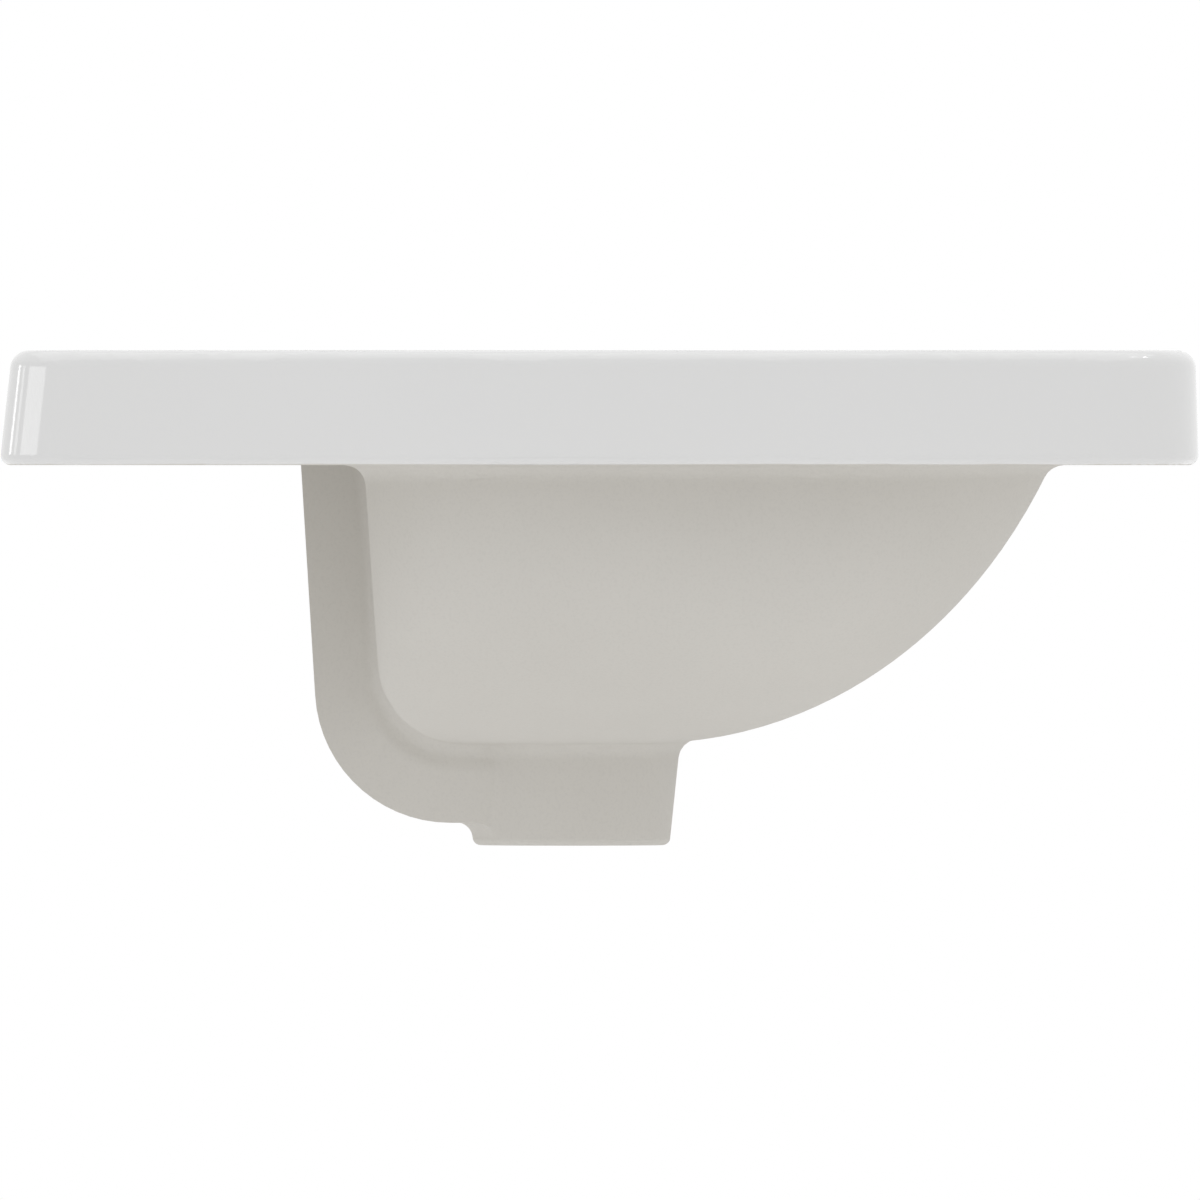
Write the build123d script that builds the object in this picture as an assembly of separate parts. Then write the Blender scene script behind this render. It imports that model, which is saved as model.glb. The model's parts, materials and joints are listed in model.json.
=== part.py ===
from build123d import *
from math import cos, radians, sin, sqrt, tan
import os

# An inset basin with one tap hole, an overflow and a press-to-close waste.
# Millimetres. X is the width, -Y the front, +Z up. The origin is the middle of the
# rim's outline, on the flat underside of the rim that rests on the worktop.

# Rim: a double-walled slab that tapers upwards and stands on the worktop
RIM_WIDTH = 550.0
RIM_DEPTH = 440.0
RIM_HEIGHT = 42.2
RIM_DRAFT_SIDE = 3.0
RIM_DRAFT_FRONT = 1.6
RIM_DRAFT_BACK = 6.3
RIM_CORNER_FRONT = 37.0
RIM_CORNER_BACK = 18.0
RIM_CORNER_LEAST = 4.0
RIM_TOP_ROUND = 7.0
RIM_FOOT_ROUND = 3.7
RIM_SKIN = 9.0

# Deck: the top inside a low lip that keeps splashed water in
DECK_DROP = 1.5
DECK_LIP = 15.0
DECK_SLOPE = 5.0
DECK_ROUND = 12.0

# Bowl: upright at the back, one long elliptical slope at the front
BOWL_DEPTH = 103.2
BOWL_HALF_WIDTH = 238.0
BOWL_SIDE_DRAFT = 5.0
BOWL_SIDE_POWER = 3.2
BOWL_SIDE_TUCK = 10.0
BOWL_FLOOR_HALF_WIDTH = 46.0
BOWL_BACK_DRAFT = 3.75
BOWL_HEEL_Y = 50.5
BOWL_HEEL_Z = -72.0
BOWL_HEEL_RADIUS = 31.4
BOWL_FRONT_Y = -17.5
BOWL_FRONT_REACH = 169.5
BOWL_FRONT_RISE = 198.2
BOWL_CORNER_BACK = 34.0
BOWL_CORNER_FRONT = 72.0
BOWL_CORNER_FLOOR = 30.0
BOWL_CORNER_TUCK = 4.0
BOWL_CORNER_POWER = 1.5
BOWL_EDGE_LEAST = 1.0
BOWL_WALL = 9.5
BOWL_EDGE_ROUND = 9.0
BOWL_RIM_FILLET = 8.0
BOWL_SHARES_ABOVE = (1.0, 0.7, 0.4, 0.15, 0.0)
BOWL_SHARES_BELOW = (0.10, 0.22, 0.39, 0.56, 0.68, 0.76, 0.82, 0.88, 0.93, 0.97, 0.988, 0.998)
FLOOR_PATCH_HALF_WIDTH = 24.0
FLOOR_PATCH_HALF_DEPTH = 20.0
FLOOR_PATCH_CORNER = 15.0

# Waste outlet boss under the bowl, and the rounded hump of the overflow channel
OUTLET_Y = 10.5
BOSS_RADIUS = 40.4
BOSS_FOOT_RADIUS = 36.5
BOSS_FOOT_Z = -141.3
BOSS_ROOT = 13.0
BOSS_FOOT_ROUND = 3.0
BOSS_FILLET = 7.4
CHANNEL_DRAFT = 3.515
CHANNEL_BEND_Y = 55.51
CHANNEL_BEND_Z = -82.57
CHANNEL_BEND_RADIUS = 50.3
CHANNEL_HALF_WIDTH = 24.0
CHANNEL_ROOT_HALF_WIDTH = 32.0
CHANNEL_SECTION_DEPTH = 32.0
CHANNEL_EDGE_ROUND = 11.0
CHANNEL_FILLET = 6.0

# Overflow passage inside the channel, and the ring of space round the waste
DUCT_WIDTH = 44.0
DUCT_DEPTH = 12.0
DUCT_CORNER = 5.0
DUCT_WALL = 7.0
DUCT_OVERLAP = 5.0
DUCT_TOP_Z = 20.0
CHAMBER_RADIUS = 28.0
CHAMBER_TOP_Z = -112.0
CHAMBER_FOOT_Z = -127.0
OVERFLOW_Z = 6.0
OVERFLOW_HOLE_RADIUS = 11.5

# Tap ledge: a pocket in the underside gives the tap's nut its room
TAP_HOLE_RADIUS = 17.5
TAP_Y = 158.0
POCKET_HALF_WIDTH = 95.0
POCKET_BACK_Y = 204.0
POCKET_CEILING_Z = 26.0
POCKET_CORNER = 14.0
POCKET_ROUND = 4.0
UNDERSIDE_TOP_Z = POCKET_CEILING_Z + 4

# Worktop fixings in the flat underside of the rim
FIXING_X = 257.0
FIXING_FRONT_Y = -105.0
FIXING_BACK_Y = 60.0
FIXING_HOLE_RADIUS = 6.0
SLEEVE_FLUSH = 0.4
SLEEVE_LENGTH = 16.0
SLEEVE_SPREAD_RADIUS = 7.0
SLEEVE_SPREAD_FROM = 9.2
SLEEVE_SPREAD_TO = 12.0
SLEEVE_SLIT = 1.0
SLEEVE_SLIT_FROM = 6.0
INSERT_RADIUS = 4.0
INSERT_LENGTH = 12.0
INSERT_THREAD_RADIUS = 2.5

# Waste hole in the basin: a dished seat above and a sunk ring below for the nut
WASTE_HOLE_RADIUS = 23.0
SEAT_RADIUS = 33.0
SEAT_EDGE_Z = -95.8
SEAT_FLAT_RADIUS = 28.0
SEAT_FLAT_Z = -99.7
SEAT_MOUTH_Z = -90.7
NUT_RECESS_RADIUS = 29.0
NUT_RECESS_DEPTH = 8.0

# Waste body: one casting with flange, tube, overflow windows and spider
FLANGE_RADIUS = 32.0
FLANGE_TOP_Z = -93.9
FLANGE_EDGE = 1.3
FLANGE_FLAT_RADIUS = 27.0
FLANGE_FLAT_Z = -98.4
LAND_Z = -96.4
LAND_RADIUS = 28.5
DISH_RADIUS = 31.0
TUBE_RADIUS = 20.95
TUBE_BORE_RADIUS = 18.4
TUBE_FOOT_Z = -140.3
OUTLET_THREAD_RADIUS = 15.2
OUTLET_THREAD_LENGTH = 7.0
OUTLET_RELIEF = 2.0
WINDOW_WIDTH = 17.0
WINDOW_FOOT_Z = -125.0
WINDOW_HEIGHT = 12.0
SPIDER_TOP_Z = -114.0
SPIDER_HEIGHT = 6.0
SPIDER_ARM_WIDTH = 3.0
HUB_RADIUS = 10.5
GASKET_RADIUS = 27.0
WASHER_RADIUS = 28.0
WASHER_THICKNESS = 2.0
SLIP_WASHER_THICKNESS = 0.8
BACKNUT_RADIUS = 27.0
BACKNUT_NOTCHES = 6
BACKNUT_NOTCH_WIDTH = 5.0
BACKNUT_NOTCH_DEPTH = 2.5
LOOSE_GAP = 0.25
THREAD_GAP = 0.05

# How far a cutting form runs past what it cuts, and how near a picked edge has to be
CUT_MARGIN = 1.0
EDGE_TOLERANCE = 0.1

# Press-to-close plug, drawn raised, and the cartridge that it works in
PLUG_TRAVEL = 9.0
CAP_RADIUS = 28.0
CAP_EDGE = 1.6
CAP_CROWN = 4.0
CAP_EDGE_ROUND = 0.7
CAP_BOSS_RADIUS = 6.0
CAP_THREAD_DEPTH = 1.5
SEAL_RADIUS = 26.5
SEAL_THICKNESS = 2.5
RETAINER_RADIUS = 17.0
RETAINER_THICKNESS = 2.0
STUD_RADIUS = 3.0
STEM_COLLAR_RADIUS = 7.5
STEM_COLLAR = 2.0
STEM_RADIUS = 4.0
SPIGOT_RADIUS = 2.5
SPIGOT_END = 0.4
RUNNING_GAP = 0.08
CARTRIDGE_RADIUS = 7.9
CARTRIDGE_BORE_RADIUS = 6.0
CARTRIDGE_TOP_Z = -103.0
CARTRIDGE_FOOT_Z = -133.0
CARTRIDGE_ROOF = 2.0
COLLAR_RADIUS = 10.0
COLLAR_THICKNESS = 2.0
RIB_COUNT = 4
RIB_HEIGHT = 6.0
RIB_WIDTH = 3.0
RIB_INNER_RADIUS = 5.0
RIB_ROOT = 0.5
RATCHET_RISE = 1.6
ROTOR_RADIUS = 4.8
ROTOR_LOBE_RADIUS = 5.9
ROTOR_HEIGHT = 5.0
ROTOR_LOBE_WIDTH = 2.6
ROTOR_TOP_GAP = 0.2
CLIP_RADIUS = 3.8
CLIP_THICKNESS = 0.8
SPRING_WIRE_RADIUS = 0.4
SPRING_COIL_RADIUS = 4.5
SPRING_TURNS = 7
END_CAP_THICKNESS = 2.5
END_CAP_SPIGOT_RADIUS = 3.7
END_CAP_SPIGOT = 2.5
CARTRIDGE_NUT_FLATS = 18.0
CARTRIDGE_NUT_HEIGHT = 3.0

# Trim ring and rubber sleeve of the overflow
TRIM_RADIUS = 14.0
TRIM_THICKNESS = 1.8
TRIM_ROUND = 0.8
TRIM_SPIGOT_RADIUS = 10.4
TRIM_BORE_RADIUS = 8.8
TRIM_SPIGOT_LENGTH = 9.0
TRIM_STANDOFF = 0.1
TRIM_SLEEVE_LENGTH = 7.0


def slope(degrees):
    return tan(radians(degrees))


def rounded_outline(z, half_width, front, back, corner_front, corner_back):
    """A flat face at height z with round corners, wider radii at the front."""
    with BuildSketch(Plane.XY.offset(z)) as sketch:
        with BuildLine():
            back_edge = Line((-half_width + corner_back, back), (half_width - corner_back, back))
            back_right = RadiusArc(back_edge @ 1, (half_width, back - corner_back), corner_back)
            right = Line(back_right @ 1, (half_width, front + corner_front))
            front_right = RadiusArc(right @ 1, (half_width - corner_front, front), corner_front)
            front_edge = Line(front_right @ 1, (-half_width + corner_front, front))
            front_left = RadiusArc(front_edge @ 1, (-half_width, front + corner_front), corner_front)
            left = Line(front_left @ 1, (-half_width, back - corner_back))
            RadiusArc(left @ 1, back_edge @ 0, corner_back)
        make_face()
    return sketch.sketch


def foot_overhang(draft):
    """How far a rounded foot falls short of the sharp corner of a leaning wall."""
    return RIM_FOOT_ROUND * ((1 + sin(radians(draft))) / cos(radians(draft)) - 1)


def rim_outline(z, inset=0.0):
    """The rim's plan at height z, optionally moved inwards."""
    side = RIM_WIDTH / 2 + foot_overhang(RIM_DRAFT_SIDE) - z * slope(RIM_DRAFT_SIDE)
    front = RIM_DEPTH / 2 + foot_overhang(RIM_DRAFT_FRONT) - z * slope(RIM_DRAFT_FRONT)
    back = RIM_DEPTH / 2 + foot_overhang(RIM_DRAFT_BACK) - z * slope(RIM_DRAFT_BACK)
    return rounded_outline(
        z,
        side - inset,
        inset - front,
        back - inset,
        max(RIM_CORNER_FRONT - inset, RIM_CORNER_LEAST),
        max(RIM_CORNER_BACK - inset, RIM_CORNER_LEAST),
    )


def bowl_back(z, wall):
    """Back of the bowl: a leaning wall that turns into a round heel."""
    heel = BOWL_HEEL_RADIUS - wall
    if z >= BOWL_HEEL_Z:
        return BOWL_HEEL_Y + heel + (z - BOWL_HEEL_Z) * slope(BOWL_BACK_DRAFT)
    return BOWL_HEEL_Y + sqrt(max(heel**2 - (z - BOWL_HEEL_Z) ** 2, 0.0))


def bowl_front(z, wall):
    """Front of the bowl: a quarter of an ellipse from rim to floor."""
    reach = BOWL_FRONT_REACH - wall
    rise = BOWL_FRONT_RISE - wall
    centre_z = BOWL_FRONT_RISE - BOWL_DEPTH
    return BOWL_FRONT_Y - reach * sqrt(max(1 - ((z - centre_z) / rise) ** 2, 0.0))


def bowl_side(z, wall):
    """Half the width of the bowl: steep sides that turn in towards the floor."""
    if z >= 0:
        return BOWL_HALF_WIDTH - wall + z * slope(BOWL_SIDE_DRAFT)
    depth = -z / (BOWL_DEPTH - wall)
    floor_half = BOWL_FLOOR_HALF_WIDTH - wall / 2
    swell = BOWL_HALF_WIDTH - wall - floor_half - BOWL_SIDE_TUCK * depth
    return floor_half + swell * sqrt(max(1 - depth**BOWL_SIDE_POWER, 0.0))


def bowl_section(z, wall):
    front = bowl_front(z, wall)
    back = bowl_back(z, wall)
    depth = min(max(-z / (BOWL_DEPTH - wall), 0.0), 1.0)
    corner_back = BOWL_CORNER_BACK - wall - BOWL_CORNER_TUCK * depth
    spread = (BOWL_CORNER_FRONT - BOWL_CORNER_FLOOR) * (1 - depth**BOWL_CORNER_POWER)
    room = back - front - corner_back - BOWL_EDGE_LEAST
    corner_front = min(BOWL_CORNER_FLOOR - wall / 2 + spread, room)
    return rounded_outline(z, bowl_side(z, wall), front, back, corner_front, corner_back)


def bowl_form(wall, top_z):
    """The bowl as a solid, inset by a wall thickness, from its floor to top_z."""
    depth = BOWL_DEPTH - wall
    sections = []
    for share in BOWL_SHARES_ABOVE:
        sections.append(bowl_section(share * top_z, wall))
    for share in BOWL_SHARES_BELOW:
        sections.append(bowl_section(-share * depth, wall))
    patch = rounded_outline(
        -depth,
        FLOOR_PATCH_HALF_WIDTH,
        OUTLET_Y - FLOOR_PATCH_HALF_DEPTH,
        OUTLET_Y + FLOOR_PATCH_HALF_DEPTH,
        FLOOR_PATCH_CORNER,
        FLOOR_PATCH_CORNER,
    )
    return loft(sections + [patch])


def ring(outer, inner, low, high, y=OUTLET_Y):
    """A plain ring between two heights, on the outlet's axis unless told otherwise."""
    tube = Cylinder(outer, high - low) - Cylinder(inner, 2 * (high - low))
    return Pos(0, y, (low + high) / 2) * tube


def disc(radius, low, high, y=OUTLET_Y):
    return Pos(0, y, (low + high) / 2) * Cylinder(radius, high - low)


def turned(points, y=OUTLET_Y):
    """A solid of revolution from (radius, height) points, on the outlet's axis."""
    with BuildSketch(Plane.XZ) as sketch:
        with BuildLine():
            Polyline(*points, close=True)
        make_face()
    return Pos(0, y, 0) * revolve(sketch.sketch, Axis.Z)


def channel_path(inset, top_z, end_y):
    """The back line, bend and floor line of the channel, moved inwards by inset."""
    bend = CHANNEL_BEND_RADIUS - inset
    lean = radians(CHANNEL_DRAFT)
    turn_y = CHANNEL_BEND_Y + bend * cos(lean)
    turn_z = CHANNEL_BEND_Z - bend * sin(lean)
    top_y = turn_y + (top_z - turn_z) * tan(lean)
    floor_z = CHANNEL_BEND_Z - bend
    with BuildLine(Plane.YZ) as path:
        drop = Line((top_y, top_z), (turn_y, turn_z))
        heel = RadiusArc(drop @ 1, (CHANNEL_BEND_Y, floor_z), bend)
        Line(heel @ 1, (end_y, floor_z))
    return path.wire()


def channel_form():
    """The overflow channel's outside: a round-backed hump down the bowl and under it."""
    path = channel_path(0.0, UNDERSIDE_TOP_Z, OUTLET_Y)
    start = Plane(origin=path @ 0, x_dir=(1, 0, 0), z_dir=path % 0)
    with BuildSketch(start) as sketch:
        with BuildLine():
            Polyline(
                (-CHANNEL_ROOT_HALF_WIDTH, CHANNEL_SECTION_DEPTH),
                (-CHANNEL_HALF_WIDTH, 0),
                (CHANNEL_HALF_WIDTH, 0),
                (CHANNEL_ROOT_HALF_WIDTH, CHANNEL_SECTION_DEPTH),
                close=True,
            )
        make_face()
        outer_corners = sketch.vertices().sort_by(lambda v: -tuple(v)[1])[:2]
        fillet(outer_corners, CHANNEL_EDGE_ROUND)
    return sweep(sketch.sketch, path=path)


def duct_form():
    """The water way inside the channel."""
    inset = DUCT_WALL + DUCT_DEPTH / 2
    path = channel_path(inset, DUCT_TOP_Z, OUTLET_Y + WASTE_HOLE_RADIUS - DUCT_OVERLAP)
    start = Plane(origin=path @ 0, x_dir=(1, 0, 0), z_dir=path % 0)
    with BuildSketch(start) as sketch:
        RectangleRounded(DUCT_WIDTH, DUCT_DEPTH, DUCT_CORNER)
    return sweep(sketch.sketch, path=path)


def boss_form():
    rise = (BOSS_RADIUS - BOSS_FOOT_RADIUS) / (-BOWL_DEPTH - BOSS_FOOT_Z)
    top_z = -BOWL_DEPTH + BOSS_ROOT
    top_radius = BOSS_RADIUS + rise * (top_z + BOWL_DEPTH)
    outline = [(0, top_z), (top_radius, top_z), (BOSS_FOOT_RADIUS, BOSS_FOOT_Z), (0, BOSS_FOOT_Z)]
    return turned(outline)


def edges_at(solid, z):
    """The edges of a solid that lie at one height."""
    return solid.edges().filter_by_position(Axis.Z, z - EDGE_TOLERANCE, z + EDGE_TOLERANCE)


def bowl_underside():
    """Bowl, boss and channel as one outer form, with soft clay fillets between."""
    bowl = bowl_form(0.0, UNDERSIDE_TOP_Z)
    boss = boss_form()
    joined = bowl + boss
    form = fillet(new_edges(bowl, boss, combined=joined), BOSS_FILLET)
    channel = channel_form()
    joined = form + channel
    seams = [
        edge
        for edge in new_edges(form, channel, combined=joined)
        if min((edge @ 0).Z, (edge @ 1).Z) < UNDERSIDE_TOP_Z - CUT_MARGIN
    ]
    form = fillet(seams, CHANNEL_FILLET)
    return fillet(edges_at(form, BOSS_FOOT_Z), BOSS_FOOT_ROUND)


def pocket_box(margin, low, high):
    """The room under the tap ledge; margin makes it the block of clay round that room."""
    half_width = POCKET_HALF_WIDTH + margin
    back = POCKET_BACK_Y + margin
    corner = POCKET_CORNER + margin
    front = BOWL_HEEL_Y + BOWL_HEEL_RADIUS - BOWL_WALL / 2 - corner
    with BuildSketch(Plane.XY.offset(low)) as sketch:
        with Locations((0, (front + back) / 2)):
            RectangleRounded(2 * half_width, back - front, corner)
    return extrude(sketch.sketch, high - low)


def pocket_form():
    """The pocket itself, with a rounded ceiling edge."""
    room = pocket_box(0.0, -CUT_MARGIN, POCKET_CEILING_Z)
    return fillet(edges_at(room, POCKET_CEILING_Z), POCKET_ROUND)


def rim_slab():
    slab = loft([rim_outline(0.0), rim_outline(RIM_HEIGHT)], ruled=True)
    slab = fillet(edges_at(slab, RIM_HEIGHT), RIM_TOP_ROUND)
    return fillet(edges_at(slab, 0.0), RIM_FOOT_ROUND)


def dished_deck(slab):
    """The slab with its top let down inside a low lip, with soft edges above and below."""
    floor_z = RIM_HEIGHT - DECK_DROP
    foot = rim_outline(floor_z, DECK_LIP + DECK_SLOPE)
    dish = loft([rim_outline(RIM_HEIGHT, DECK_LIP), foot], ruled=True)
    dish = fillet(edges_at(dish, floor_z), DECK_ROUND)
    deck = slab - dish
    lip_top = deck.faces().sort_by(Axis.Z)[-1]
    return fillet(lip_top.inner_wires()[0].edges(), DECK_ROUND)


def rim_hollow():
    """The closed space between the rim's two skins, round the bowl and the pocket."""
    low = RIM_SKIN
    high = RIM_HEIGHT - RIM_SKIN
    hollow = loft([rim_outline(low, RIM_SKIN), rim_outline(high, RIM_SKIN)], ruled=True)
    hollow -= bowl_form(0.0, RIM_HEIGHT)
    return hollow - pocket_box(RIM_SKIN, -CUT_MARGIN, RIM_HEIGHT)


def overflow_plane():
    """Centre of the overflow on the bowl's back wall, its Z pointing into the bowl."""
    lean = radians(BOWL_BACK_DRAFT)
    centre = (0, bowl_back(OVERFLOW_Z, BOWL_WALL), OVERFLOW_Z)
    return Plane(origin=centre, x_dir=(1, 0, 0), z_dir=(0, -cos(lean), sin(lean)))


def fixing_places():
    places = []
    for x in (-FIXING_X, FIXING_X):
        for y in (FIXING_FRONT_Y, FIXING_BACK_Y):
            places.append((x, y))
    return places


def is_mouth(edge):
    """Whether an edge at deck height is where the bowl's inside breaks through."""
    middle = edge @ 0.5
    deck_z = RIM_HEIGHT - DECK_DROP
    return abs(middle.X) < BOWL_HALF_WIDTH and bowl_front(deck_z, 0) < middle.Y < bowl_back(deck_z, 0)


def waste_hole():
    """The dished seat, the hole, the overflow's ring of space and the recess for the nut."""
    seat = turned(
        [
            (0, SEAT_MOUTH_Z),
            (SEAT_RADIUS, SEAT_MOUTH_Z),
            (SEAT_RADIUS, SEAT_EDGE_Z),
            (SEAT_FLAT_RADIUS, SEAT_FLAT_Z),
            (0, SEAT_FLAT_Z),
        ]
    )
    hole = disc(WASTE_HOLE_RADIUS, BOSS_FOOT_Z - CUT_MARGIN, SEAT_FLAT_Z + CUT_MARGIN)
    chamber = disc(CHAMBER_RADIUS, CHAMBER_FOOT_Z, CHAMBER_TOP_Z)
    recess = disc(NUT_RECESS_RADIUS, BOSS_FOOT_Z - CUT_MARGIN, BOSS_FOOT_Z + NUT_RECESS_DEPTH)
    return seat + hole + chamber + recess


def overflow_hole():
    depth = BOWL_WALL + DUCT_DEPTH
    return overflow_plane() * Pos(0, 0, CUT_MARGIN - depth / 2) * Cylinder(OVERFLOW_HOLE_RADIUS, depth)


def basin_body():
    """The one fired piece: rim, deck, bowl, overflow channel and outlet boss."""
    slab = dished_deck(rim_slab()) - pocket_form()
    under = bowl_underside()
    body = slab + under
    shoulder = [
        edge
        for edge in new_edges(slab, under, combined=body)
        if max(abs((edge @ 0).Z), abs((edge @ 1).Z)) < EDGE_TOLERANCE
    ]
    body = fillet(shoulder, BOWL_RIM_FILLET)
    body -= rim_hollow()
    body -= bowl_form(BOWL_WALL, RIM_HEIGHT + CUT_MARGIN)
    body = fillet(edges_at(body, RIM_HEIGHT - DECK_DROP).filter_by(is_mouth), BOWL_EDGE_ROUND)
    body -= duct_form()
    body -= waste_hole()
    body -= overflow_hole()
    body -= disc(TAP_HOLE_RADIUS, POCKET_CEILING_Z - CUT_MARGIN, RIM_HEIGHT + CUT_MARGIN, TAP_Y)
    for x, y in fixing_places():
        body -= Pos(x, y, RIM_SKIN / 2) * Cylinder(FIXING_HOLE_RADIUS, RIM_SKIN + 2 * CUT_MARGIN)
    return body


def waste_body():
    """Flange, threaded tube, overflow windows and spider, cast in one."""
    relief_z = TUBE_FOOT_Z + OUTLET_THREAD_LENGTH
    body = turned(
        [
            (FLANGE_RADIUS, FLANGE_TOP_Z),
            (FLANGE_RADIUS, FLANGE_TOP_Z - FLANGE_EDGE),
            (FLANGE_FLAT_RADIUS, FLANGE_FLAT_Z),
            (TUBE_RADIUS, FLANGE_FLAT_Z),
            (TUBE_RADIUS, TUBE_FOOT_Z),
            (OUTLET_THREAD_RADIUS, TUBE_FOOT_Z),
            (OUTLET_THREAD_RADIUS, relief_z),
            (TUBE_BORE_RADIUS, relief_z + OUTLET_RELIEF),
            (TUBE_BORE_RADIUS, LAND_Z),
            (LAND_RADIUS, LAND_Z),
            (DISH_RADIUS, FLANGE_TOP_Z),
        ]
    )
    spider_foot = SPIDER_TOP_Z - SPIDER_HEIGHT
    spider = disc(HUB_RADIUS, spider_foot, SPIDER_TOP_Z)
    arm_end = (TUBE_BORE_RADIUS + TUBE_RADIUS) / 2
    for turn in (45, 135):
        arm = Box(2 * arm_end, SPIDER_ARM_WIDTH, SPIDER_HEIGHT)
        spider += Pos(0, OUTLET_Y, spider_foot + SPIDER_HEIGHT / 2) * Rot(0, 0, turn) * arm
    body += spider
    body -= disc(CARTRIDGE_RADIUS + THREAD_GAP, spider_foot - CUT_MARGIN, SPIDER_TOP_Z + CUT_MARGIN)
    window_z = WINDOW_FOOT_Z + WINDOW_HEIGHT / 2
    for turn in range(0, 360, 90):
        window = Pos(TUBE_RADIUS, 0, 0) * Box(TUBE_RADIUS / 2, WINDOW_WIDTH, WINDOW_HEIGHT)
        body -= Pos(0, OUTLET_Y, window_z) * Rot(0, 0, turn) * window
    return body


def flange_gasket():
    return ring(GASKET_RADIUS, TUBE_RADIUS + LOOSE_GAP, SEAT_FLAT_Z, FLANGE_FLAT_Z)


def nut_recess_stack():
    """Rubber washer, slip washer and backnut, from the recess ceiling downwards."""
    ceiling = BOSS_FOOT_Z + NUT_RECESS_DEPTH
    rubber_foot = ceiling - WASHER_THICKNESS
    slip_foot = rubber_foot - SLIP_WASHER_THICKNESS
    rubber = ring(WASHER_RADIUS, TUBE_RADIUS + LOOSE_GAP, rubber_foot, ceiling)
    slip = ring(BACKNUT_RADIUS, TUBE_RADIUS + LOOSE_GAP, slip_foot, rubber_foot)
    nut = ring(BACKNUT_RADIUS, TUBE_RADIUS + THREAD_GAP, TUBE_FOOT_Z, slip_foot)
    for index in range(BACKNUT_NOTCHES):
        notch = Box(2 * BACKNUT_NOTCH_DEPTH, BACKNUT_NOTCH_WIDTH, NUT_RECESS_DEPTH)
        turn = Rot(0, 0, 360 / BACKNUT_NOTCHES * index)
        nut -= Pos(0, OUTLET_Y, slip_foot) * turn * Pos(BACKNUT_RADIUS, 0, 0) * notch
    return {"boss_washer": rubber, "slip_washer": slip, "backnut": nut}


def cap_under_z():
    """Underside of the plug cap with the plug raised."""
    return LAND_Z + SEAL_THICKNESS + PLUG_TRAVEL


def cap_boss_foot_z():
    return cap_under_z() - SEAL_THICKNESS - RETAINER_THICKNESS


def rotor_top_z():
    return CARTRIDGE_TOP_Z - CARTRIDGE_ROOF - ROTOR_TOP_GAP


def plug_cap():
    """A low dome with a threaded boss under it."""
    under = cap_under_z()
    crown = (0, under + CAP_EDGE + CAP_CROWN)
    rim_top = (CAP_RADIUS, under + CAP_EDGE)
    dome_radius = (CAP_RADIUS**2 + CAP_CROWN**2) / (2 * CAP_CROWN)
    with BuildSketch(Plane.XZ) as sketch:
        with BuildLine():
            RadiusArc(crown, rim_top, dome_radius)
            Polyline(
                rim_top,
                (CAP_RADIUS, under),
                (CAP_BOSS_RADIUS, under),
                (CAP_BOSS_RADIUS, cap_boss_foot_z()),
                (STUD_RADIUS, cap_boss_foot_z()),
                (STUD_RADIUS, under + CAP_THREAD_DEPTH),
                (0, under + CAP_THREAD_DEPTH),
                crown,
            )
        make_face()
    cap = revolve(sketch.sketch, Axis.Z)
    rim_edges = cap.edges().filter_by(GeomType.CIRCLE).sort_by(SortBy.RADIUS)[-2:]
    return Pos(0, OUTLET_Y, 0) * fillet(rim_edges, CAP_EDGE_ROUND)


def plug_seal():
    under = cap_under_z()
    return ring(SEAL_RADIUS, CAP_BOSS_RADIUS, under - SEAL_THICKNESS, under)


def seal_retainer():
    foot = cap_boss_foot_z()
    return ring(RETAINER_RADIUS, CAP_BOSS_RADIUS, foot, foot + RETAINER_THICKNESS)


def plug_stem():
    """Stud, collar, sliding shank and the spigot that the latch rotor turns on."""
    stud_top = cap_under_z() + CAP_THREAD_DEPTH
    collar_top = cap_boss_foot_z()
    spigot_foot = rotor_top_z() - ROTOR_HEIGHT - CLIP_THICKNESS - SPIGOT_END
    return turned(
        [
            (0, stud_top),
            (STUD_RADIUS, stud_top),
            (STUD_RADIUS, collar_top),
            (STEM_COLLAR_RADIUS, collar_top),
            (STEM_COLLAR_RADIUS, collar_top - STEM_COLLAR),
            (STEM_RADIUS, collar_top - STEM_COLLAR),
            (STEM_RADIUS, rotor_top_z()),
            (SPIGOT_RADIUS, rotor_top_z()),
            (SPIGOT_RADIUS, spigot_foot),
            (0, spigot_foot),
        ]
    )


def ratchet_bar(width, low, high, slant_low, slant_high, reach):
    """A radial bar along +X whose foot and top rise across its width."""
    with BuildSketch(Plane.YZ) as sketch:
        with BuildLine():
            Polyline(
                (-width / 2, low),
                (width / 2, low + slant_low),
                (width / 2, high),
                (-width / 2, high - slant_high),
                close=True,
            )
        make_face()
    return extrude(sketch.sketch, reach)


def latch_rotor():
    """The ratchet ring: four slant-topped lobes that run between the cartridge's ribs."""
    top = rotor_top_z()
    foot = top - ROTOR_HEIGHT
    rotor = disc(ROTOR_RADIUS, foot, top)
    reach = disc(ROTOR_LOBE_RADIUS, foot, top)
    bar = ratchet_bar(ROTOR_LOBE_WIDTH, foot, top, 0.0, RATCHET_RISE, 2 * ROTOR_LOBE_RADIUS)
    for index in range(RIB_COUNT):
        turn = Rot(0, 0, 360 / RIB_COUNT * (index + 0.5))
        rotor += reach & (Pos(0, OUTLET_Y, 0) * turn * bar)
    return rotor - disc(SPIGOT_RADIUS + RUNNING_GAP, foot - CUT_MARGIN, top + CUT_MARGIN)


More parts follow.
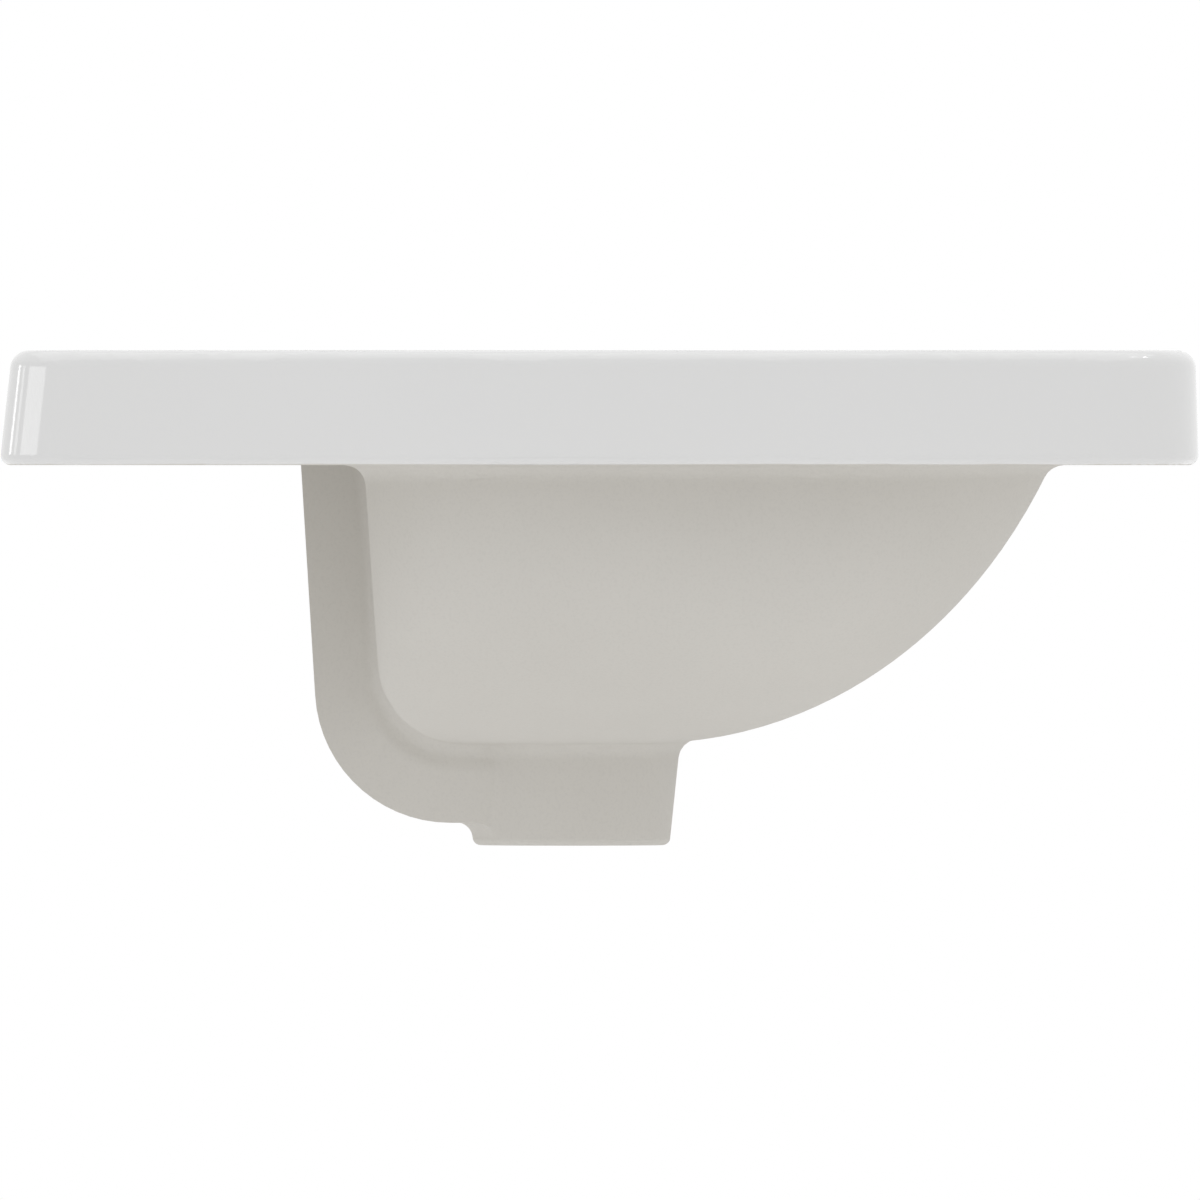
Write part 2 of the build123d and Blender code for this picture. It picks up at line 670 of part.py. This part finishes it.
def rotor_clip():
    top = rotor_top_z() - ROTOR_HEIGHT
    clip = ring(CLIP_RADIUS, SPIGOT_RADIUS, top - CLIP_THICKNESS, top)
    mouth = Box(2 * CLIP_RADIUS, SPIGOT_RADIUS, 3 * CLIP_THICKNESS)
    return clip - Pos(CLIP_RADIUS + CUT_MARGIN, OUTLET_Y, top) * mouth


def cartridge_housing():
    """Tube with a roof, a collar that sits on the spider, and guide ribs inside."""
    roof_foot = CARTRIDGE_TOP_Z - CARTRIDGE_ROOF
    housing = disc(CARTRIDGE_RADIUS, CARTRIDGE_FOOT_Z, CARTRIDGE_TOP_Z)
    housing += disc(COLLAR_RADIUS, SPIDER_TOP_Z, SPIDER_TOP_Z + COLLAR_THICKNESS)
    housing -= disc(CARTRIDGE_BORE_RADIUS, CARTRIDGE_FOOT_Z - CUT_MARGIN, roof_foot)
    rib_foot = roof_foot - RIB_HEIGHT
    rib_ring = ring(CARTRIDGE_BORE_RADIUS + RIB_ROOT, RIB_INNER_RADIUS, rib_foot, roof_foot)
    bar = ratchet_bar(RIB_WIDTH, rib_foot, roof_foot, RATCHET_RISE, 0.0, CARTRIDGE_RADIUS)
    for index in range(RIB_COUNT):
        turn = Rot(0, 0, 360 / RIB_COUNT * index)
        housing += rib_ring & (Pos(0, OUTLET_Y, 0) * turn * bar)
    return housing - disc(STEM_RADIUS + RUNNING_GAP, roof_foot - CUT_MARGIN, CARTRIDGE_TOP_Z + CUT_MARGIN)


def cartridge_end_cap():
    top = CARTRIDGE_FOOT_Z + END_CAP_THICKNESS
    plate = disc(CARTRIDGE_BORE_RADIUS, CARTRIDGE_FOOT_Z, top)
    return plate + disc(END_CAP_SPIGOT_RADIUS, top, top + END_CAP_SPIGOT)


def cartridge_spring():
    """The return spring, at its length with the plug raised."""
    low = CARTRIDGE_FOOT_Z + END_CAP_THICKNESS + SPRING_WIRE_RADIUS
    high = rotor_top_z() - ROTOR_HEIGHT - SPRING_WIRE_RADIUS
    coil = Helix((high - low) / SPRING_TURNS, high - low, SPRING_COIL_RADIUS)
    wire = Plane(origin=coil @ 0, x_dir=(0, 0, 1), z_dir=coil % 0)
    return Pos(0, OUTLET_Y, low) * sweep(wire * Circle(SPRING_WIRE_RADIUS), path=coil, is_frenet=True)


def cartridge_nut():
    top = SPIDER_TOP_Z - SPIDER_HEIGHT
    with BuildSketch(Plane.XY.offset(top - CARTRIDGE_NUT_HEIGHT)) as sketch:
        RegularPolygon(CARTRIDGE_NUT_FLATS / 2, 6, major_radius=False)
        Circle(CARTRIDGE_RADIUS + THREAD_GAP, mode=Mode.SUBTRACT)
    return Pos(0, OUTLET_Y, 0) * extrude(sketch.sketch, CARTRIDGE_NUT_HEIGHT)


def overflow_trim_ring():
    """Flanged ring with soft edges, on the leaning back wall of the bowl."""
    face = TRIM_STANDOFF + TRIM_THICKNESS
    with BuildSketch(Plane.XZ) as sketch:
        with BuildLine():
            Polyline(
                (TRIM_BORE_RADIUS, face),
                (TRIM_RADIUS, face),
                (TRIM_RADIUS, TRIM_STANDOFF),
                (TRIM_SPIGOT_RADIUS, TRIM_STANDOFF),
                (TRIM_SPIGOT_RADIUS, -TRIM_SPIGOT_LENGTH),
                (TRIM_BORE_RADIUS, -TRIM_SPIGOT_LENGTH),
                close=True,
            )
        make_face()
        fillet(sketch.vertices().group_by(Axis.Y)[-1], TRIM_ROUND)
    return overflow_plane() * revolve(sketch.sketch, Axis.Z)


def overflow_seal_sleeve():
    middle = -TRIM_STANDOFF - TRIM_SLEEVE_LENGTH / 2
    tube = Cylinder(OVERFLOW_HOLE_RADIUS, TRIM_SLEEVE_LENGTH)
    tube -= Cylinder(TRIM_SPIGOT_RADIUS, 2 * TRIM_SLEEVE_LENGTH)
    return overflow_plane() * Pos(0, 0, middle) * tube


def fixing_sleeve(x, y):
    """A sleeve pushed into the rim's lower skin and spread inside it."""
    foot = SLEEVE_FLUSH
    top = SLEEVE_FLUSH + SLEEVE_LENGTH
    with BuildSketch(Plane.XZ) as sketch:
        with BuildLine():
            Polyline(
                (INSERT_RADIUS, foot),
                (FIXING_HOLE_RADIUS, foot),
                (FIXING_HOLE_RADIUS, SLEEVE_SPREAD_FROM),
                (SLEEVE_SPREAD_RADIUS, SLEEVE_SPREAD_TO),
                (SLEEVE_SPREAD_RADIUS, top),
                (INSERT_RADIUS, top),
                close=True,
            )
        make_face()
    sleeve = revolve(sketch.sketch, Axis.Z)
    slit_height = top - SLEEVE_SLIT_FROM
    slit = Box(3 * SLEEVE_SPREAD_RADIUS, SLEEVE_SLIT, slit_height)
    for turn in (0, 90):
        sleeve -= Pos(0, 0, SLEEVE_SLIT_FROM + slit_height / 2) * Rot(0, 0, turn) * slit
    return Pos(x, y, 0) * sleeve


def fixing_insert(x, y):
    middle = SLEEVE_FLUSH + INSERT_LENGTH / 2
    tube = Cylinder(INSERT_RADIUS, INSERT_LENGTH) - Cylinder(INSERT_THREAD_RADIUS, 2 * INSERT_LENGTH)
    return Pos(x, y, middle) * tube


def all_parts():
    parts = {
        "basin_body": basin_body(),
        "overflow_trim_ring": overflow_trim_ring(),
        "overflow_seal_sleeve": overflow_seal_sleeve(),
        "waste_body": waste_body(),
        "flange_gasket": flange_gasket(),
        "plug_cap": plug_cap(),
        "plug_seal": plug_seal(),
        "seal_retainer": seal_retainer(),
        "plug_stem": plug_stem(),
        "latch_rotor": latch_rotor(),
        "rotor_clip": rotor_clip(),
        "cartridge_housing": cartridge_housing(),
        "cartridge_end_cap": cartridge_end_cap(),
        "cartridge_spring": cartridge_spring(),
        "cartridge_nut": cartridge_nut(),
        "fixing_sleeves": Compound([fixing_sleeve(x, y) for x, y in fixing_places()]),
        "fixing_inserts": Compound([fixing_insert(x, y) for x, y in fixing_places()]),
    }
    parts.update(nut_recess_stack())
    return parts


if __name__ == "__main__":
    os.makedirs("parts", exist_ok=True)
    for name, shape in all_parts().items():
        export_step(shape, f"parts/{name}.step")
        print(name, round(shape.volume), "mm3")
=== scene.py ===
import json
import math

import bmesh
import bpy
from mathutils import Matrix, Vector

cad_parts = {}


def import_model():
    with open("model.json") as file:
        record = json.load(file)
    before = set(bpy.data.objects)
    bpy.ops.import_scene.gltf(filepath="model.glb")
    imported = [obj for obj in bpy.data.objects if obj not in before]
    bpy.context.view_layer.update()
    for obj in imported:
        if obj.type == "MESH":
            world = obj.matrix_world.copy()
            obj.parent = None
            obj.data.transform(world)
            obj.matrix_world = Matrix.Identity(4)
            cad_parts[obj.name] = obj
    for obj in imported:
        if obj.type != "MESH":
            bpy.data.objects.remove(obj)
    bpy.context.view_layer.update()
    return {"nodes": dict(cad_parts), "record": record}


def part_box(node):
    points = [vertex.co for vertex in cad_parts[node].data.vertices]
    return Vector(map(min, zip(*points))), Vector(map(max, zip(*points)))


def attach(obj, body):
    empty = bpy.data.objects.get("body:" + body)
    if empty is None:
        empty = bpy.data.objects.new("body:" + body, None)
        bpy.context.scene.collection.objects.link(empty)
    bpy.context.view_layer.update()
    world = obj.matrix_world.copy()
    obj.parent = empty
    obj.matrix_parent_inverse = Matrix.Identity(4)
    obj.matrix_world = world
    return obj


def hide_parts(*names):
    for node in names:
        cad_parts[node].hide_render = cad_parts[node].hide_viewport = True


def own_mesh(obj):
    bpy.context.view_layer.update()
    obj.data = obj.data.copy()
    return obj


# Looks for an inset basin: glazed and bare fired clay, chromed waste and overflow
# ring, rubber, nylon, brass and spring steel. Metres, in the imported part's frame.

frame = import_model()

# The camera looks square at the basin's left side through a very long lens, from
# the height of the rim's underside. The view is this wide at a plane between the
# near side of the rim and the middle of the bowl.
VIEW_CENTRE = Vector((-0.14, -0.0001, -0.0498))
VIEW_WIDTH = 0.44314
EYE_Z = 0.0
LENS = 1600.0
SENSOR = 36.0
CLIP_END = 60.0

# Places read from the frame
CLAY_LOW, CLAY_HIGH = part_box("basin_body")

# Where the glaze stops. Above the rim's underside, only the pocket under the tap
# ledge and the fixing holes stay bare. Below it, a face is glazed where it is turned
# to a point in the bowl, down to the ledge that the waste sits on.
GLAZE_EDGE_Z = 0.0004
POCKET_HALF_WIDTH = 0.0955
POCKET_FRONT_Y = 0.082
POCKET_BACK_Y = 0.2045
POCKET_CEILING_Z = 0.0263
FIXING_NEAR = 0.0066
FIXING_TOP_Z = 0.0095
BOWL_EYE = Vector((0.0, -0.045, 0.06))
SEAT_LEDGE_Z = -0.1

# Shading: an edge that turns by more than this angle is a crease, and where a large
# flat face meets a rounding, the flat face leads
SHARP_ANGLE = math.radians(32)
FLAT_FACE_WEIGHT = 80
WELD_DISTANCE = 1e-6

# The stage: how light it is, and how far out the floor starts and ends its turn to white
WHITE = (1.0, 1.0, 1.0, 1.0)
WORLD_LEVEL = 0.76
FLOOR_COLOUR = (0.9, 0.9, 0.9, 1.0)
FLOOR_DROP = 0.17
FLOOR_HALF = 9.0
FLOOR_CLEAR_START = 0.4
FLOOR_CLEAR_END = 0.9
OVERHEAD_PLACE = Vector((-0.2, 0.0, 2.4))
BOUNCE_PLACE = Vector((0.0, 0.0, -0.3))
REFLECTOR_DISTANCE = 2.2


def new_material(name):
    material = bpy.data.materials.new(name)
    material.use_nodes = True
    nodes = material.node_tree.nodes
    nodes.clear()
    output = nodes.new("ShaderNodeOutputMaterial")
    shader = nodes.new("ShaderNodeBsdfPrincipled")
    material.node_tree.links.new(shader.outputs["BSDF"], output.inputs["Surface"])
    return material, shader


def add_node(owner, kind, **values):
    """A node for a material or the world: a value goes to its socket, or else its setting."""
    node = owner.node_tree.nodes.new(kind)
    for key, value in values.items():
        if key in node.inputs:
            node.inputs[key].default_value = value
        else:
            setattr(node, key, value)
    return node


def link(owner, source, target):
    owner.node_tree.links.new(source, target)


def place(material):
    """Object coordinates, so that a pattern keeps its real size and rides with its body."""
    return add_node(material, "ShaderNodeTexCoord").outputs["Object"]


def noise(material, scale, detail=3.0):
    """Clouds as a value from 0 to 1: scale is about how many there are to a metre."""
    node = add_node(material, "ShaderNodeTexNoise", Scale=scale, Detail=detail)
    link(material, place(material), node.inputs["Vector"])
    return node.outputs["Fac"]


def ramp(material, factor, low, high, start=0.3, end=0.7):
    """Two colours or greys, blended between two values of a factor."""
    node = add_node(material, "ShaderNodeValToRGB")
    node.color_ramp.elements[0].position = start
    node.color_ramp.elements[0].color = (*low, 1.0)
    node.color_ramp.elements[1].position = end
    node.color_ramp.elements[1].color = (*high, 1.0)
    link(material, factor, node.inputs["Fac"])
    return node.outputs["Color"]


def blend_colours(material, kind, amount, first, second):
    node = add_node(material, "ShaderNodeMix", data_type="RGBA", blend_type=kind)
    node.inputs["Factor"].default_value = amount
    link(material, first, node.inputs["A"])
    link(material, second, node.inputs["B"])
    return node.outputs["Result"]


def bump(material, height, distance, strength=1.0, under=None):
    node = add_node(material, "ShaderNodeBump", Strength=strength, Distance=distance)
    link(material, height, node.inputs["Height"])
    if under is not None:
        link(material, under, node.inputs["Normal"])
    return node.outputs["Normal"]


def grey(value):
    return (value, value, value)


def glaze():
    """White glaze: very smooth, with the faint long waves of a poured and fired coat."""
    material, shader = new_material("white_glaze")
    shader.inputs["Roughness"].default_value = 0.12
    shader.inputs["IOR"].default_value = 1.52
    shader.inputs["Coat Weight"].default_value = 0.5
    shader.inputs["Coat Roughness"].default_value = 0.03
    cloud = noise(material, scale=6.0, detail=2.0)
    tone = ramp(material, cloud, low=(0.800, 0.800, 0.796), high=(0.812, 0.812, 0.810))
    link(material, tone, shader.inputs["Base Color"])
    waves = bump(material, noise(material, scale=22.0, detail=1.0), distance=0.00006)
    peel = bump(material, noise(material, scale=420.0, detail=1.0), distance=0.0000015, under=waves)
    link(material, peel, shader.inputs["Normal"])
    return material


def bare_clay():
    """Unglazed fired clay: warm grey, matt, lightly clouded, with a fine dry grain."""
    material, shader = new_material("bare_fired_clay")
    shader.inputs["Roughness"].default_value = 0.9
    shader.inputs["IOR"].default_value = 1.4
    cloud = noise(material, scale=9.0)
    tone = ramp(material, cloud, low=(0.650, 0.630, 0.590), high=(0.672, 0.652, 0.612))
    speck = noise(material, scale=900.0, detail=2.0)
    grain = ramp(material, speck, low=grey(0.975), high=grey(1.0), start=0.35, end=0.5)
    link(material, blend_colours(material, "MULTIPLY", 1.0, tone, grain), shader.inputs["Base Color"])
    coarse = bump(material, noise(material, scale=60.0), distance=0.00010)
    fine = bump(material, speck, distance=0.00002, under=coarse)
    link(material, fine, shader.inputs["Normal"])
    return material


def chrome():
    """Bright plated metal with a barely uneven polish."""
    material, shader = new_material("polished_chrome")
    shader.inputs["Metallic"].default_value = 1.0
    cloud = noise(material, scale=90.0, detail=2.0)
    tone = ramp(material, cloud, low=(0.74, 0.75, 0.765), high=(0.79, 0.80, 0.81))
    link(material, tone, shader.inputs["Base Color"])
    polish = ramp(material, noise(material, scale=160.0), low=grey(0.05), high=grey(0.11))
    link(material, polish, shader.inputs["Roughness"])
    uneven = bump(material, noise(material, scale=120.0, detail=1.0), distance=0.000004)
    link(material, uneven, shader.inputs["Normal"])
    return material


def rubber():
    """Black moulded rubber: nearly matt, with a fine even skin."""
    material, shader = new_material("black_rubber")
    shader.inputs["Roughness"].default_value = 0.75
    shader.inputs["IOR"].default_value = 1.45
    cloud = noise(material, scale=300.0)
    tone = ramp(material, cloud, low=(0.018, 0.018, 0.019), high=(0.034, 0.034, 0.035))
    link(material, tone, shader.inputs["Base Color"])
    skin = bump(material, noise(material, scale=1500.0, detail=2.0), distance=0.00003)
    link(material, skin, shader.inputs["Normal"])
    return material


def nylon():
    """White nylon: slightly warm, with the soft sheen of a mould."""
    material, shader = new_material("white_nylon")
    shader.inputs["Roughness"].default_value = 0.42
    shader.inputs["IOR"].default_value = 1.53
    cloud = noise(material, scale=140.0)
    tone = ramp(material, cloud, low=(0.70, 0.69, 0.65), high=(0.76, 0.75, 0.72))
    link(material, tone, shader.inputs["Base Color"])
    skin = bump(material, noise(material, scale=1100.0, detail=2.0), distance=0.00002)
    link(material, skin, shader.inputs["Normal"])
    return material


def turned_metal(name, dark, light, roughness, ring_scale):
    """Metal with the fine rings that a lathe or a drawing die leaves."""
    material, shader = new_material(name)
    shader.inputs["Metallic"].default_value = 1.0
    shader.inputs["Roughness"].default_value = roughness
    tone = ramp(material, noise(material, scale=200.0), low=dark, high=light)
    link(material, tone, shader.inputs["Base Color"])
    rings = add_node(material, "ShaderNodeTexWave", wave_type="BANDS", bands_direction="Z")
    rings.inputs["Scale"].default_value = ring_scale
    rings.inputs["Distortion"].default_value = 0.4
    rings.inputs["Detail"].default_value = 1.0
    link(material, place(material), rings.inputs["Vector"])
    grooves = bump(material, rings.outputs["Fac"], distance=0.00002, strength=0.6)
    link(material, grooves, shader.inputs["Normal"])
    return material


def outer_shell(mesh):
    """Leaves the shell that can be seen and drops the closed space between the rim's skins."""
    seen = set()
    shells = []
    for start in mesh.verts:
        if start in seen:
            continue
        seen.add(start)
        group = [start]
        for vertex in group:
            for edge in vertex.link_edges:
                other = edge.other_vert(vertex)
                if other not in seen:
                    seen.add(other)
                    group.append(other)
        shells.append(group)
    keep = max(shells, key=lambda group: max(v.co.x for v in group) - min(v.co.x for v in group))
    spare = [vertex for group in shells if group is not keep for vertex in group]
    bmesh.ops.delete(mesh, geom=spare, context="VERTS")


def is_glazed(face, fixings):
    """Glaze covers what shows from above once the basin is let into its worktop."""
    centre = face.calc_center_median()
    if centre.z > GLAZE_EDGE_Z:
        in_pocket = (
            abs(centre.x) < POCKET_HALF_WIDTH
            and POCKET_FRONT_Y < centre.y < POCKET_BACK_Y
            and centre.z < POCKET_CEILING_Z
        )
        near_fixing = any((centre.xy - hole).length < FIXING_NEAR for hole in fixings)
        return not in_pocket and not (near_fixing and centre.z < FIXING_TOP_Z)
    return centre.z > SEAT_LEDGE_Z and face.normal.dot(BOWL_EYE - centre) > 0


def fixing_places():
    """The middle of each of the four fixing holes, seen from above."""
    inserts = frame["nodes"]["fixing_inserts"].data.vertices
    places = []
    for x_sign in (-1, 1):
        for back in (False, True):
            group = [v.co.xy for v in inserts if v.co.x * x_sign > 0 and (v.co.y > 0) == back]
            places.append(sum(group, Vector((0.0, 0.0))) / len(group))
    return places


def basin_mesh():
    """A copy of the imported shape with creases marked: material 0 is glaze, 1 is bare clay."""
    mesh = bmesh.new()
    mesh.from_mesh(frame["nodes"]["basin_body"].data)
    bmesh.ops.remove_doubles(mesh, verts=mesh.verts, dist=WELD_DISTANCE)
    outer_shell(mesh)
    mesh.normal_update()
    fixings = fixing_places()
    for face in mesh.faces:
        face.smooth = True
        face.material_index = 0 if is_glazed(face, fixings) else 1
    for edge in mesh.edges:
        edge.smooth = edge.calc_face_angle(0.0) < SHARP_ANGLE
    data = bpy.data.meshes.new("basin_ceramic")
    mesh.to_mesh(data)
    mesh.free()
    return data


def basin(glazed, bare):
    """The fired piece, glazed above and bare below."""
    data = basin_mesh()
    data.materials.append(glazed)
    data.materials.append(bare)
    piece = bpy.data.objects.new("basin_ceramic", data)
    bpy.context.scene.collection.objects.link(piece)
    weighted = piece.modifiers.new("even_normals", "WEIGHTED_NORMAL")
    weighted.keep_sharp = True
    weighted.mode = "FACE_AREA_WITH_ANGLE"
    weighted.weight = FLAT_FACE_WEIGHT
    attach(piece, "basin")
    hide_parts("basin_body")


def dress(thing, material):
    """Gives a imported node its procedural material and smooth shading."""
    thing.data.materials.clear()
    thing.data.materials.append(material)
    for polygon in thing.data.polygons:
        polygon.use_smooth = True
        polygon.material_index = 0
    thing.data.set_sharp_from_angle(angle=SHARP_ANGLE)


def return_spring(material):
    """The coil spring as a piece of its own, carried on the basin's body."""
    piece = bpy.data.objects.new("return_spring", frame["nodes"]["cartridge_spring"].data.copy())
    bpy.context.scene.collection.objects.link(piece)
    dress(piece, material)
    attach(piece, "basin")
    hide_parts("cartridge_spring")
    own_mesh(piece)


def background_rays(owner):
    """1 for what the camera sees, also in a reflection or through glass, else 0."""
    path = add_node(owner, "ShaderNodeLightPath")
    seen = path.outputs["Is Camera Ray"]
    for kind in ("Is Glossy Ray", "Is Transmission Ray"):
        larger = add_node(owner, "ShaderNodeMath", operation="MAXIMUM")
        link(owner, seen, larger.inputs[0])
        link(owner, path.outputs[kind], larger.inputs[1])
        seen = larger.outputs["Value"]
    return seen


def mix_shaders(owner, factor, first, second):
    mix = add_node(owner, "ShaderNodeMixShader")
    link(owner, factor, mix.inputs["Fac"])
    link(owner, first, mix.inputs[1])
    link(owner, second, mix.inputs[2])
    return mix.outputs["Shader"]


def floor():
    """A pale floor: the basin's shadow near it, plain white farther off, clear from below."""
    material = bpy.data.materials.new("pale_floor")
    material.use_nodes = True
    material.node_tree.nodes.clear()
    diffuse = add_node(material, "ShaderNodeBsdfDiffuse", Color=FLOOR_COLOUR)
    white = add_node(material, "ShaderNodeEmission", Strength=1.0)
    distance = add_node(material, "ShaderNodeVectorMath", operation="LENGTH")
    link(material, place(material), distance.inputs[0])
    far = add_node(material, "ShaderNodeMapRange", interpolation_type="SMOOTHSTEP")
    far.inputs["From Min"].default_value = FLOOR_CLEAR_START
    far.inputs["From Max"].default_value = FLOOR_CLEAR_END
    link(material, distance.outputs["Value"], far.inputs["Value"])
    share = add_node(material, "ShaderNodeMath", operation="MULTIPLY")
    link(material, background_rays(material), share.inputs[0])
    link(material, far.outputs["Result"], share.inputs[1])
    near_shader = diffuse.outputs["BSDF"]
    far_shader = white.outputs["Emission"]
    above = mix_shaders(material, share.outputs["Value"], near_shader, far_shader)
    side = add_node(material, "ShaderNodeNewGeometry")
    clear = add_node(material, "ShaderNodeBsdfTransparent")
    both = mix_shaders(material, side.outputs["Backfacing"], above, clear.outputs["BSDF"])
    output = add_node(material, "ShaderNodeOutputMaterial")
    link(material, both, output.inputs["Surface"])
    data = bpy.data.meshes.new("floor")
    corners = [(-1, -1), (1, -1), (1, 1), (-1, 1)]
    data.from_pydata([(x * FLOOR_HALF, y * FLOOR_HALF, 0.0) for x, y in corners], [], [(0, 1, 2, 3)])
    data.materials.append(material)
    thing = bpy.data.objects.new("floor", data)
    thing.location = (0.0, 0.0, CLAY_LOW.z - FLOOR_DROP)
    bpy.context.scene.collection.objects.link(thing)


def world():
    """Even light all round, plain white to the camera and in reflections."""
    studio = bpy.data.worlds.new("studio")
    bpy.context.scene.world = studio
    studio.use_nodes = True
    studio.node_tree.nodes.clear()
    lit = add_node(studio, "ShaderNodeBackground", Color=WHITE, Strength=WORLD_LEVEL)
    white = add_node(studio, "ShaderNodeBackground", Color=WHITE, Strength=1.0)
    lit_shader = lit.outputs["Background"]
    white_shader = white.outputs["Background"]
    both = mix_shaders(studio, background_rays(studio), lit_shader, white_shader)
    output = add_node(studio, "ShaderNodeOutputWorld")
    link(studio, both, output.inputs["Surface"])


def softbox(name, place_at, aim, width, height, power):
    light = bpy.data.lights.new(name, "AREA")
    light.shape = "RECTANGLE"
    light.size = width
    light.size_y = height
    light.energy = power
    thing = bpy.data.objects.new(name, light)
    thing.location = place_at
    thing.rotation_euler = (aim - thing.location).to_track_quat("-Z", "Y").to_euler()
    thing.visible_camera = False
    bpy.context.scene.collection.objects.link(thing)
    return thing


def reflector(name, aim, bearing, elevation, width, height, power):
    """A lamp that only shows in the glaze: bearing is degrees round from camera to back."""
    turn = math.radians(bearing)
    rise = math.radians(elevation)
    level = REFLECTOR_DISTANCE * math.cos(rise)
    away = Vector((-level * math.cos(turn), level * math.sin(turn), REFLECTOR_DISTANCE * math.sin(rise)))
    lamp = softbox(name, aim + away, aim, width, height, power)
    lamp.visible_diffuse = False


def lamps():
    """Soft light from above and below, strips for the rim's back corner, spots for its front."""
    origin = Vector((0.0, 0.0, 0.0))
    softbox("overhead", OVERHEAD_PLACE, origin, width=3.2, height=3.2, power=15.0)
    softbox("floor_bounce", BOUNCE_PLACE, origin, width=1.3, height=1.3, power=0.9)
    back_corner = Vector((CLAY_LOW.x, CLAY_HIGH.y, 0.0))
    strip = {"elevation": 9.0, "height": 0.4}
    reflector("strip_wide", back_corner, bearing=52.0, width=1.75, power=4.2, **strip)
    reflector("strip_middle", back_corner, bearing=91.0, width=0.25, power=0.55, **strip)
    reflector("strip_narrow", back_corner, bearing=108.0, width=0.26, power=1.3, **strip)
    front_corner = Vector((CLAY_LOW.x, CLAY_LOW.y, CLAY_HIGH.z))
    spot = {"width": 0.09, "height": 0.09}
    reflector("spot_front", front_corner, bearing=-108.0, elevation=58.0, power=1.1, **spot)
    reflector("spot_over", front_corner, bearing=-97.0, elevation=66.0, power=0.8, **spot)


def camera():
    lens_camera = bpy.data.cameras.new("camera")
    lens_camera.lens = LENS
    lens_camera.sensor_width = SENSOR
    lens_camera.clip_end = CLIP_END
    thing = bpy.data.objects.new("camera", lens_camera)
    thing.location = (VIEW_CENTRE.x - VIEW_WIDTH * LENS / SENSOR, VIEW_CENTRE.y, EYE_Z)
    thing.rotation_euler = (VIEW_CENTRE - thing.location).to_track_quat("-Z", "Y").to_euler()
    bpy.context.scene.collection.objects.link(thing)
    bpy.context.scene.camera = thing


def build():
    basin(glaze(), bare_clay())
    brass = turned_metal(
        "turned_brass",
        dark=(0.56, 0.42, 0.20),
        light=(0.68, 0.53, 0.28),
        roughness=0.28,
        ring_scale=900.0,
    )
    steel = turned_metal(
        "spring_steel",
        dark=(0.42, 0.43, 0.45),
        light=(0.56, 0.57, 0.59),
        roughness=0.3,
        ring_scale=2400.0,
    )
    finishes = {
        "chromed_metal": chrome(),
        "black_rubber": rubber(),
        "white_nylon": nylon(),
        "plain_brass": brass,
        "spring_steel": steel,
    }
    for row in frame["record"]["subparts"]:
        if row["material_slot"] in finishes:
            dress(frame["nodes"][row["node"]], finishes[row["material_slot"]])
    return_spring(steel)


build()
floor()
world()
lamps()
camera()
bpy.context.scene.view_settings.view_transform = "Standard"
